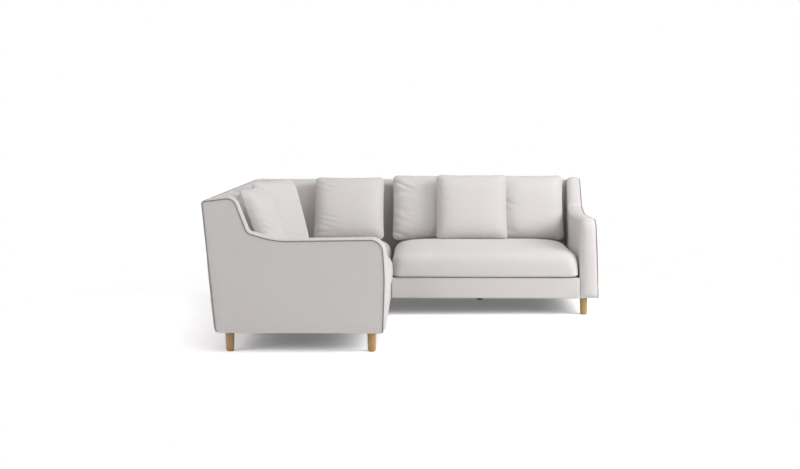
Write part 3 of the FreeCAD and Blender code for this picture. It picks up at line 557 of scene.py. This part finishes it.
def skin(name, rings):
    """One closed mesh through rings of equally many points, with a flat face at both ends."""
    count = len(rings[0])
    faces = [tuple(range(count)), tuple(range(len(rings) * count - count, len(rings) * count))]
    for r in range(len(rings) - 1):
        low, high = r * count, (r + 1) * count
        for i in range(count):
            k = (i + 1) % count
            faces.append((low + i, low + k, high + k, high + i))
    mesh = bpy.data.meshes.new(name)
    mesh.from_pydata([tuple(p) for ring in rings for p in ring], [], faces)
    piece = bpy.data.objects.new(name, mesh)
    scene.collection.objects.link(piece)
    turn_faces_outwards(piece)
    mesh.shade_smooth()
    return piece


def ruffle(piece, depth, scale, seed):
    """Small soft unevenness, as hand-pulled cloth has it."""
    mesh = piece.data
    ways = [v.normal.copy() for v in mesh.vertices]
    for vertex, way in zip(mesh.vertices, ways):
        offset = noise.noise(vertex.co * scale + Vector((seed, 0, 0)))
        offset += 0.5 * noise.noise(vertex.co * scale * 2.7 + Vector((0, seed, 0)))
        vertex.co += way * offset * depth
    mesh.update()


# %% Make both arms
PANEL_SHARES = (0.012, 0.03, 0.055, 0.085, 0.125, 0.18, 0.26, 0.36, 0.48, 0.60, 0.72, 0.84, 0.94)
BAND_STEPS = 16
for seed, side in enumerate(("left", "right")):
    rings = [panel_ring(side, share, False, 0.002) for share in reversed(PANEL_SHARES)]
    rings += [band_ring(side, (1 - cos(pi * k / BAND_STEPS)) / 2) for k in range(BAND_STEPS + 1)]
    rings += [panel_ring(side, share, True, 0.003) for share in PANEL_SHARES]
    arm = skin(f"{side}_arm", rings)
    ruffle(arm, 0.0009, 7.0, 3.0 + seed)
    finish_piece(arm, "root", "upholstery_cloth", f"{side}_arm_cover")

# %% [markdown]
# ## The backs
# Each back is one padded wall, raked from top to bottom, whose top edge rolls down to the seat side. Its
# section is an outline again, drawn out along the wing. Where the two wings meet, the sections end on the
# diagonal, so the pads join in a mitre. The seam between the two units is a real gap.

# %% Section of a back
RAKE = BACK_FOOT / (BACK_HEIGHT - UNDERSIDE)
BACK_THICKNESS = 0.118
BACK_OUTLINE = [
    (BACK_FOOT, UNDERSIDE, 0.028), (0.0, BACK_HEIGHT, 0.008), (0.034, 0.874, 0.102),
    (BACK_THICKNESS, 0.852, 0.034), (BACK_FOOT + BACK_THICKNESS, UNDERSIDE, 0.003),
]
back_path = rounded_path(BACK_OUTLINE, 0.018)
print("back outline:", len(back_path), "points")

# %% [markdown]
# The ends of a back are rounded: over the last few rings the section draws in towards its middle and
# gets lower, by the shares in the list, from the end inwards.

# %% Rings of a back
END_SHARES = (0.24, 0.13, 0.06, 0.02, 0.0)
END_STEP = 0.0025
END_DROP = 0.05
BACK_STEP = 0.03


def back_ring(side, start, end, share, inset):
    """The section at a share of the way along; a start of None is the corner's diagonal."""
    ring = []
    for point in back_path:
        t, z = point
        middle = RAKE * (BACK_HEIGHT - z) + BACK_THICKNESS / 2
        t += (middle - t) * inset
        if z > 0.8:
            z -= END_DROP * inset
        elif z < 0.2:
            z += END_DROP * inset
        low = t if start is None else start
        ring.append(place(side, low + (end - low) * share, t, z))
    return ring


def make_back(name, side, start, end, seed, node):
    """A back from one place along the wing to another, in place of its CAD cover."""
    length = end - (start or 0.0)
    edge = END_STEP / length
    ends = list(enumerate(END_SHARES))
    count = max(8, round(length / BACK_STEP))
    first = ends[-1][0] * edge
    middle = 1 - 2 * first
    rings = [back_ring(side, start, end, k * edge, inset) for k, inset in ends]
    rings += [back_ring(side, start, end, first + middle * k / count, 0.0) for k in range(1, count)]
    rings += [back_ring(side, start, end, 1 - k * edge, inset) for k, inset in reversed(ends)]
    back = skin(name, rings)
    ruffle(back, 0.0012, 6.0, seed)
    finish_piece(back, "root", "upholstery_cloth", node)


# %% Make the three backs
make_back("right_back", "right", None, ARM_INNER, 11.0, "right_back_cover")
make_back("corner_back", "left", None, DEPTH, 12.0, "corner_back_cover")
make_back("left_back", "left", DEPTH + UNIT_SEAM, ARM_INNER, 13.0, "left_back_cover")

# %% [markdown]
# ## Piping
# Piping is a cord in a strip of the same cloth, sewn into a seam. Here it follows the outer edge of each
# arm, up the back, over the top and down the front, and then the outer top edge of the backs, with a
# break at the seam between the units. A curve with a round bevel makes it, and the curve is turned
# into a mesh so that it can ride and export.

# %% Piping along a line
PIPING = 0.0034
PIPING_START = 0.0045
PROUD = 0.0012


def make_piping(name, points):
    """A cord along the points, whose radius is PIPING."""
    deselect()
    curve = bpy.data.curves.new(name, "CURVE")
    curve.dimensions = "3D"
    curve.bevel_depth = PIPING
    curve.bevel_resolution = 2
    curve.use_fill_caps = True
    line = curve.splines.new("POLY")
    line.points.add(len(points) - 1)
    for knot, point in zip(line.points, points):
        knot.co = (*point, 1.0)
    piece = bpy.data.objects.new(name, curve)
    scene.collection.objects.link(piece)
    pick(piece)
    bpy.ops.object.convert(target="MESH")
    piece = bpy.context.object
    piece.name = name
    piece.data.shade_smooth()
    finish_piece(piece, "root", "upholstery_cloth", material=piping_painted_shade)


def arm_piping_points(side):
    """The outer edge from the foot of the back up, over and down to the toe."""
    points = []
    for point, way in zip(arm_path, outward_ways(arm_path)):
        if point.y > UNDERSIDE + PIPING_START:
            here = point + way * PROUD
            points.append(place(side, WING - lean(here.y) + PROUD, here.x, here.y))
    return points


# %% Make the piping
for side in ("left", "right"):
    make_piping(f"{side}_arm_piping", arm_piping_points(side))
EDGE_IN, EDGE_UP = 0.001, 0.0015
HALF_BREAK = 0.0065
seam = DEPTH + UNIT_SEAM / 2
into_arm = ARM_INNER + 0.03


def back_edge(side, *stations):
    """Points on the outer top edge of the back at these places along the wing."""
    return [place(side, s, EDGE_IN, BACK_HEIGHT + EDGE_UP) for s in stations]


make_piping("left_back_piping", back_edge("left", seam + HALF_BREAK, 1.5, 2.0, into_arm))
make_piping("back_piping", back_edge("left", seam - HALF_BREAK, 0.5, EDGE_IN)
            + back_edge("right", 0.5, 1.0, 1.5, 2.0, into_arm))

# %% [markdown]
# ## The front rails
# Under the cushions runs a rail in foam and cloth. It starts as a cube of the rail's size, gets a
# large round on its upper front edge and small rounds on the others, and is cut into short lengths,
# so that the cloth can be a little uneven.

# %% Make the front rails
RAIL_BACK = 0.990
RAIL_FRONT = 1.035
RAIL_ROUND = 0.010
RAIL_EDGE = 0.003
RAIL_CUTS = 48
CLEARANCE = 0.0005


def make_rail(name, side, start, end, seed):
    """A front rail from one place along the wing to another."""
    low, high = place(side, start, RAIL_BACK, UNDERSIDE), place(side, end, RAIL_FRONT, DECK)
    deselect()
    bpy.ops.mesh.primitive_cube_add(size=1, location=(low + high) / 2)
    rail = bpy.context.object
    rail.name = name
    rail.scale = [abs(x) for x in high - low]
    bpy.ops.object.transform_apply(location=True, rotation=True, scale=True)
    front = place(side, start, RAIL_FRONT, DECK)
    axis = 1 if side == "right" else 0
    for edge in rail.data.edges:
        ends = [rail.data.vertices[i].co for i in edge.vertices]
        edge.select = all(abs(p[axis] - front[axis]) < 1e-5 and abs(p.z - DECK) < 1e-5 for p in ends)
    bpy.ops.object.mode_set(mode="EDIT")
    bpy.ops.mesh.select_mode(type="EDGE")
    bpy.ops.mesh.bevel(offset=RAIL_ROUND, segments=5)
    bpy.ops.object.mode_set(mode="OBJECT")
    rounding = rail.modifiers.new("Soft edges", "BEVEL")
    rounding.width, rounding.segments, rounding.limit_method = RAIL_EDGE, 3, "ANGLE"
    bpy.ops.object.modifier_apply(modifier=rounding.name)
    bpy.ops.object.mode_set(mode="EDIT")
    for step in range(1, RAIL_CUTS):
        bpy.ops.mesh.select_all(action="SELECT")
        at = place(side, start + (end - start) * step / RAIL_CUTS, 1.0, 0.2)
        normal = place(side, 1, 0, 0) - place(side, 0, 0, 0)
        bpy.ops.mesh.bisect(plane_co=at, plane_no=normal)
    bpy.ops.object.mode_set(mode="OBJECT")
    bpy.ops.object.shade_smooth_by_angle(angle=radians(60))
    ruffle(rail, 0.0007, 9.0, seed)
    finish_piece(rail, "root", "upholstery_cloth", f"{side}_rail_cover")


make_rail("left_rail", "left", DEPTH + 2 * UNIT_SEAM, ARM_INNER - CLEARANCE, 21.0)
make_rail("right_rail", "right", RAIL_FRONT + CLEARANCE, ARM_INNER - CLEARANCE, 22.0)

# %% [markdown]
# ## Blowing up cushions
# A stuffed cushion gets its shape from the filling that pushes the cloth outwards, so it is simulated:
# the mesh becomes cloth, air pressure takes the part of the filling, and gravity is off. After ten frames
# or a few more the shape is applied.

# %% Simulate the filling
def fill_with_air(piece, pressure, frames, stiffness, bending, cap):
    """Swell a closed mesh; no point moves further than the cap."""
    rest = [v.co.copy() for v in piece.data.vertices]
    pick(piece)
    cloth = piece.modifiers.new("Filling", "CLOTH")
    cloth.settings.quality = 6
    cloth.settings.mass = 0.3
    cloth.settings.tension_stiffness = stiffness
    cloth.settings.compression_stiffness = stiffness
    cloth.settings.shear_stiffness = stiffness / 3
    cloth.settings.bending_stiffness = bending
    cloth.settings.use_pressure = True
    cloth.settings.uniform_pressure_force = pressure
    cloth.settings.effector_weights.gravity = 0
    cloth.collision_settings.use_collision = False
    cloth.point_cache.frame_start, cloth.point_cache.frame_end = 1, frames
    for step in range(1, frames + 1):
        scene.frame_set(step)
    bpy.ops.object.modifier_apply(modifier=cloth.name)
    scene.frame_set(1)
    for vertex, start in zip(piece.data.vertices, rest):
        move = vertex.co - start
        if move.length > cap:
            vertex.co = start + move * (cap / move.length)


# %% [markdown]
# ## The seat cushions
# A seat cushion is a foam block in a cloth cover, crowned on top, with rounded corners. The CAD foam
# already has its size and place, so a copy of it is the start: its doubles are merged, it is
# remeshed into even quads, and its edges are softened, the lower ones a little and the upper ones until
# the top and the front are one crown. Then the filling swells it. It stays on its platform and out of
# its neighbour's space.

# %% Make the seat cushions
SEAT_VOXEL = 0.016
SEAT_SLACK = 0.0025
SEAT_LIFT = 0.0008


def copy_of_node(node, name):
    """A welded copy of a CAD node's mesh as a piece of its own."""
    piece = bpy.data.objects.new(name, frame["nodes"][node].data.copy())
    scene.collection.objects.link(piece)
    pick(piece)
    bpy.ops.object.mode_set(mode="EDIT")
    bpy.ops.mesh.select_all(action="SELECT")
    bpy.ops.mesh.remove_doubles(threshold=0.00005)
    bpy.ops.object.mode_set(mode="OBJECT")
    return piece


def make_seat(node):
    """A seat cushion in place of its CAD cover, foam and zip."""
    low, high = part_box(f"{node}_foam")
    seat = copy_of_node(f"{node}_foam", f"{node}_cushion")
    seat.data.remesh_voxel_size = SEAT_VOXEL
    bpy.ops.object.voxel_remesh()
    upper = seat.vertex_groups.new(name="upper")
    for vertex in seat.data.vertices:
        upper.add([vertex.index], smooth_step(vertex.co.z, DECK + 0.01, DECK + 0.12), "REPLACE")
    for group, rounds in (("", 3), ("upper", 110)):
        softer = seat.modifiers.new("Rounder edges", "SMOOTH")
        softer.factor, softer.iterations, softer.vertex_group = 0.5, rounds, group
        bpy.ops.object.modifier_apply(modifier=softer.name)
    fill_with_air(seat, pressure=3.0, frames=10, stiffness=12.0, bending=2.0, cap=0.006)
    sides = seat.modifiers.new("Finer", "SUBSURF")
    sides.levels = sides.render_levels = 1
    bpy.ops.object.modifier_apply(modifier=sides.name)
    for vertex in seat.data.vertices:
        vertex.co.x = min(max(vertex.co.x, low.x - SEAT_SLACK), high.x + SEAT_SLACK)
        vertex.co.y = min(max(vertex.co.y, low.y - SEAT_SLACK), high.y + SEAT_SLACK)
        vertex.co.z = max(vertex.co.z, DECK + SEAT_LIFT)
    seat.data.shade_smooth()
    finish_piece(seat, node, "cushion_cloth", f"{node}_cover", f"{node}_foam", f"{node}_zip")
    return seat


seats = {node: make_seat(node) for node in ("left_seat", "corner_seat", "right_seat")}

# %% [markdown]
# ## The scatter cushions
# A scatter cushion is two squares of cloth sewn edge to edge and stuffed. A thin flat bag of the cut
# size, with rounded corners, is filled in the simulation, which gives the cloth its uneven swells and
# puckers. A well stuffed cushion is plumper near its seams than a bag of air, so the filled bag is
# drawn most of the way to a plump form, and a few creases run in from the side seam that is pushed.

# %% A flat bag
PILLOW = (0.508, 0.490)
PILLOW_HALF = 0.080
SEAM_ALLOWANCE = 0.034
CORNER_ROUND = 0.042
BAG_THICKNESS = 0.010
BAG_CUTS = 46
DRIFT = 0.0035
PUCKER = 0.0006


def flat_bag(name, seed):
    """Two squares of cloth a few millimetres apart, joined round their edges, and its even points."""
    deselect()
    bpy.ops.mesh.primitive_cube_add(size=1)
    bag = bpy.context.object
    bag.name = name
    bag.scale = (PILLOW[0] + SEAM_ALLOWANCE, BAG_THICKNESS, PILLOW[1] + SEAM_ALLOWANCE)
    bpy.ops.object.transform_apply(location=True, rotation=True, scale=True)
    points = bag.data.vertices
    for edge in bag.data.edges:
        edge.select = abs(points[edge.vertices[0]].co.y - points[edge.vertices[1]].co.y) < 1e-4
    bpy.ops.object.mode_set(mode="EDIT")
    bpy.ops.mesh.select_mode(type="EDGE")
    bpy.ops.mesh.subdivide(number_cuts=BAG_CUTS)
    bpy.ops.object.mode_set(mode="OBJECT")
    straight = [(size + SEAM_ALLOWANCE) / 2 - CORNER_ROUND for size in PILLOW]
    even = []
    for vertex in bag.data.vertices:
        beyond = Vector((abs(vertex.co.x) - straight[0], abs(vertex.co.z) - straight[1]))
        if min(beyond) > 0:
            beyond *= max(beyond) / beyond.length
            vertex.co.x = (straight[0] + beyond.x) * (1 if vertex.co.x > 0 else -1)
            vertex.co.z = (straight[1] + beyond.y) * (1 if vertex.co.z > 0 else -1)
        even.append(vertex.co.copy())
        drift = noise.noise_vector(vertex.co * 9.0 + Vector((seed * 7.3, 0, 0)))
        pucker = noise.noise_vector(vertex.co * 34.0 + Vector((0, seed * 5.1, 0)))
        vertex.co += drift * DRIFT + pucker * PUCKER
    return bag, even


# %% [markdown]
# On the plump form the thickness falls off late and steeply towards the seams, and the sides pull in a
# little between the corners. A crease lies wherever a stretched noise crosses zero, so creases come at
# uneven distances, run across from the side seam and fade out.

# %% The plump form
PLUMP = 0.80
PULL_IN = 0.014
CREASE_WIDTH = 0.16


def plump_point(flat, seed, creased):
    """Where a point of the flat bag lies on a fully stuffed cushion, with its side creases."""
    across = flat.x / ((PILLOW[0] + SEAM_ALLOWANCE) / 2)
    up = flat.z / ((PILLOW[1] + SEAM_ALLOWANCE) / 2)
    wide, tall = min(abs(across), 1.0), min(abs(up), 1.0)
    rim = min((wide ** 14 + tall ** 14) ** (1 / 14), 1.0)
    thick = ((1 - wide ** 4) * (1 - tall ** 4)) ** 0.25 * (1 - rim ** 9) ** 0.5
    wave = noise.noise(Vector((flat.x * 4.0, seed * 3.7, (flat.z + 0.3 * flat.x) * 17.0)))
    strong = max(0.55 + noise.noise(Vector((seed * 9.1, flat.z * 7.0, flat.x * 3.0))), 0.0)
    crease = exp(-(wave / CREASE_WIDTH) ** 2) * strong * smooth_step(-across, 0.15, 0.70) * (1 - rim ** 20)
    swell = 0.0012 + PILLOW_HALF * thick * (0.97 - 0.06 * up) - creased * crease
    return Vector((across * PILLOW[0] / 2 * (1 - PULL_IN * (1 - tall ** 2) * wide ** 2),
                   (1 if flat.y > 0 else -1) * swell,
                   up * PILLOW[1] / 2 * (1 - PULL_IN * (1 - wide ** 2) * tall ** 2)))


def shape_bag(bag, even, seed, creased):
    """Bring a filled bag to the measured size and draw it to the plump form."""
    size = [max(abs(v.co[i]) for v in bag.data.vertices) for i in range(3)]
    print("filled:", [round(value, 4) for value in size])
    half = (PILLOW[0] / 2, PILLOW_HALF, PILLOW[1] / 2)
    for vertex, flat in zip(bag.data.vertices, even):
        filled = Vector([vertex.co[i] / size[i] * half[i] for i in range(3)])
        vertex.co = filled.lerp(plump_point(flat, seed, creased), PLUMP)


# %% [markdown]
# The shaped cushion is set on its leaning plane and let down until it rests on the seat cushion: what
# would sink into the seat is pushed up to its surface, as the real cushion flattens where it stands.

# %% Set a cushion on its seat
SINK = 0.007
CLOTH_GAP = 0.0012


def local_frame(node, joint_name):
    """The leaning frame of a cushion: its middle, and its ways across, through and up."""
    low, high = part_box(node)
    up = Vector(next(j["axis"] for j in frame["joints"] if j["name"] == joint_name)).normalized()
    across = up.cross(Vector((0, 0, 1))).normalized()
    through = up.cross(across).normalized()
    turned = Matrix((across, through, up)).transposed().to_4x4()
    return Matrix.Translation((low + high) / 2) @ turned


def rest_on(bag, seat):
    """Let the cushion down by a little and press it flat on the seat."""
    surface = BVHTree.FromObject(seat, bpy.context.evaluated_depsgraph_get())
    for vertex in bag.data.vertices:
        vertex.co.z -= SINK
        hit = surface.ray_cast(Vector((vertex.co.x, vertex.co.y, 1.0)), Vector((0, 0, -1)))[0]
        if hit and vertex.co.z < hit.z + CLOTH_GAP:
            vertex.co.z = hit.z + CLOTH_GAP


def make_pillow(node, seat, seed, pressure, frames, creased):
    """A scatter cushion in place of its CAD cover and pad; creased is the depth of its creases."""
    bag, even = flat_bag(f"{node}_stuffed", seed)
    fill_with_air(bag, pressure, frames, stiffness=14.0, bending=0.35, cap=0.12)
    shape_bag(bag, even, seed, creased)
    bag.data.transform(local_frame(f"{node}_cover", f"{node}_lift"))
    pick(bag)
    finer = bag.modifiers.new("Finer", "SUBSURF")
    finer.levels = finer.render_levels = 1
    bpy.ops.object.modifier_apply(modifier=finer.name)
    rest_on(bag, seats[seat])
    bag.data.shade_smooth()
    finish_piece(bag, node, "cushion_cloth", f"{node}_cover", f"{node}_pad")


# %% Make the scatter cushions
for seed, (node, made) in enumerate({
    "left_outer_pillow": ("left_seat", 4.5, 13, 0.008),
    "left_inner_pillow": ("left_seat", 4.0, 13, 0.008),
    "corner_pillow": ("corner_seat", 4.6, 13, 0.015),
    "right_inner_pillow": ("right_seat", 4.2, 13, 0.017),
    "right_front_pillow": ("right_seat", 4.8, 12, 0.002),
    "right_outer_pillow": ("right_seat", 4.2, 13, 0.013),
}.items()):
    seat, pressure, frames, creased = made
    make_pillow(node, seat, seed + 1.0, pressure, frames, creased)

# %% [markdown]
# ## The studio
# The picture is a plain product shot: a white floor without an edge, soft light from the front, the
# right and above, and a soft shadow under the sofa. The world is white to the camera and to
# reflections, and gives the object an even grey light. The floor takes the real shadow, and far from
# the sofa it turns into plain white.

# %% World
AMBIENT = 0.14


def grey(level):
    return (level, level, level, 1)


world = bpy.data.worlds.new("studio")
scene.world = world
world.use_nodes = True
tree = world.node_tree
background = tree.nodes["Background"]
path = add_node(tree, "ShaderNodeLightPath")
seen = math_node(tree, "MAXIMUM", path.outputs["Is Camera Ray"], path.outputs["Is Glossy Ray"])
seen = math_node(tree, "MAXIMUM", seen, path.outputs["Is Transmission Ray"])
strength = add_node(tree, "ShaderNodeMix", {0: seen, 2: AMBIENT, 3: 1.0})
background.inputs["Color"].default_value = grey(1)
tree.links.new(strength.outputs[0], background.inputs["Strength"])

# %% [markdown]
# To the lamps and the sofa the floor is a pale grey paper. To the camera it is lifted by a second
# diffuse layer and a little haze, so that its lit part is white and its shadow as light as in the
# photograph, and it fades to white between two distances from the middle.

# %% Floor
FLOOR_PAPER = 0.86
FLOOR_LIFT = 0.66
FLOOR_HAZE = 0.15
FADE_FROM, FADE_TO = 1.9, 2.9
deselect()
bpy.ops.mesh.primitive_circle_add(vertices=96, radius=40, fill_type="NGON")
floor = bpy.context.object
floor.name = "studio_floor"
floor_paper = bpy.data.materials.new("floor_paper")
floor_paper.use_nodes = True
tree = floor_paper.node_tree
shader = tree.nodes["Principled BSDF"]
shader.inputs["Base Color"].default_value = grey(FLOOR_PAPER)
shader.inputs["Roughness"].default_value = 0.9
shader.inputs["Specular IOR Level"].default_value = 0.0
path = add_node(tree, "ShaderNodeLightPath")
seen = math_node(tree, "MAXIMUM", path.outputs["Is Camera Ray"], path.outputs["Is Glossy Ray"])
distance = add_node(tree, "ShaderNodeVectorMath", {0: add_node(tree, "ShaderNodeTexCoord").outputs["Object"]},
                    operation="LENGTH")
far = add_node(tree, "ShaderNodeMapRange",
               {0: distance.outputs["Value"], 1: FADE_FROM, 2: FADE_TO}).outputs[0]
paler = add_node(tree, "ShaderNodeBsdfDiffuse", {"Color": grey(FLOOR_LIFT)})
haze = add_node(tree, "ShaderNodeEmission", {"Color": grey(1), "Strength": FLOOR_HAZE})
white = add_node(tree, "ShaderNodeEmission", {"Color": grey(1), "Strength": 1.0})
lifted = add_node(tree, "ShaderNodeAddShader", {0: shader.outputs[0], 1: paler.outputs[0]})
lifted = add_node(tree, "ShaderNodeAddShader", {0: lifted.outputs[0], 1: haze.outputs[0]})
shown = add_node(tree, "ShaderNodeMixShader", {0: far, 1: lifted.outputs[0], 2: white.outputs[0]})
paper = add_node(tree, "ShaderNodeMixShader", {0: seen, 1: shader.outputs[0], 2: shown.outputs[0]})
tree.links.new(paper.outputs[0], tree.nodes["Material Output"].inputs["Surface"])
floor.data.materials.append(floor_paper)


# %% Lamps
def soft_box(name, at, aim, size, power, colour=(1, 1, 1)):
    """A round area lamp at one place, turned towards another."""
    lamp = bpy.data.lights.new(name, "AREA")
    lamp.shape = "DISK"
    lamp.size = size
    lamp.energy = power
    lamp.color = colour
    stand = bpy.data.objects.new(name, lamp)
    stand.location = at
    stand.rotation_euler = (Vector(aim) - Vector(at)).to_track_quat("-Z", "Y").to_euler()
    scene.collection.objects.link(stand)


soft_box("key", (4.5, -1.8, 2.6), (0, 0, 0.4), 3.0, 214)
soft_box("front", (3.0, -5.5, 2.4), (0, 0, 0.4), 3.0, 80)
soft_box("top", (0.3, 0.2, 5.2), (0.2, 0.1, 0.0), 4.5, 130)
soft_box("fill", (-5.0, -4.5, 3.0), (0, 0, 0.4), 4.0, 160, (1.0, 0.968, 0.984))

# %% Finish
scene.view_settings.view_transform = "Standard"
